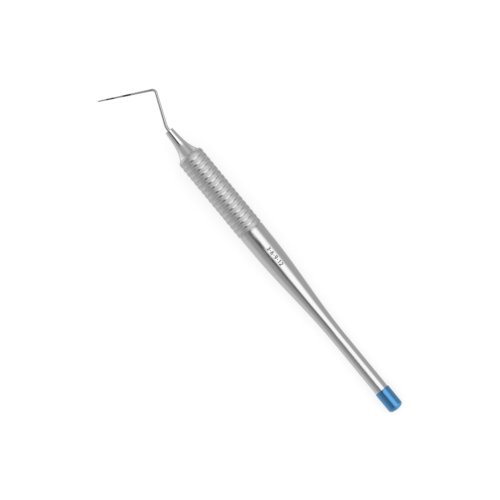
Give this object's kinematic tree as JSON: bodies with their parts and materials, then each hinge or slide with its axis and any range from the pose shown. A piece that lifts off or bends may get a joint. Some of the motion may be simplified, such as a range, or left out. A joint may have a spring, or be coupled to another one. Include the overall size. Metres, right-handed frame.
{
  "type": "dental explorer probe",
  "caption": "Single-ended dental probe: a bent wire tip with black graduation bands, in a hollow steel handle with a knurled ring-grooved grip, a slim tapered shaft and a blue end cap.",
  "frame": {"origin": "on the handle's axis, at the middle of the grip's length", "axes": "+X along the handle towards the working end; the two bends lie in the XY plane, with the blunt end pointing to +Y; +Z square to that plane"},
  "size_m": [0.1542, 0.0188, 0.01],
  "materials": {
    "handle_steel": "satin, with fine turning marks and a knurled grip",
    "nose_steel": "finely turned, brighter than the handle",
    "tip_steel": "finely ground wire, polished",
    "band_black": "matte black resin filled flush into the recesses",
    "bush_steel": "turned",
    "seal_rubber": "matte silicone rubber",
    "cap_blue": "blue anodised, glossy"
  },
  "bodies": {
    "root": {"handle_tube": "handle_steel", "nose_cone": "nose_steel", "probe_tip": "tip_steel", "graduation_bands": "band_black", "end_bush": "bush_steel", "cap_seal": "seal_rubber", "end_cap": "cap_blue"}
  },
  "joints": []
}
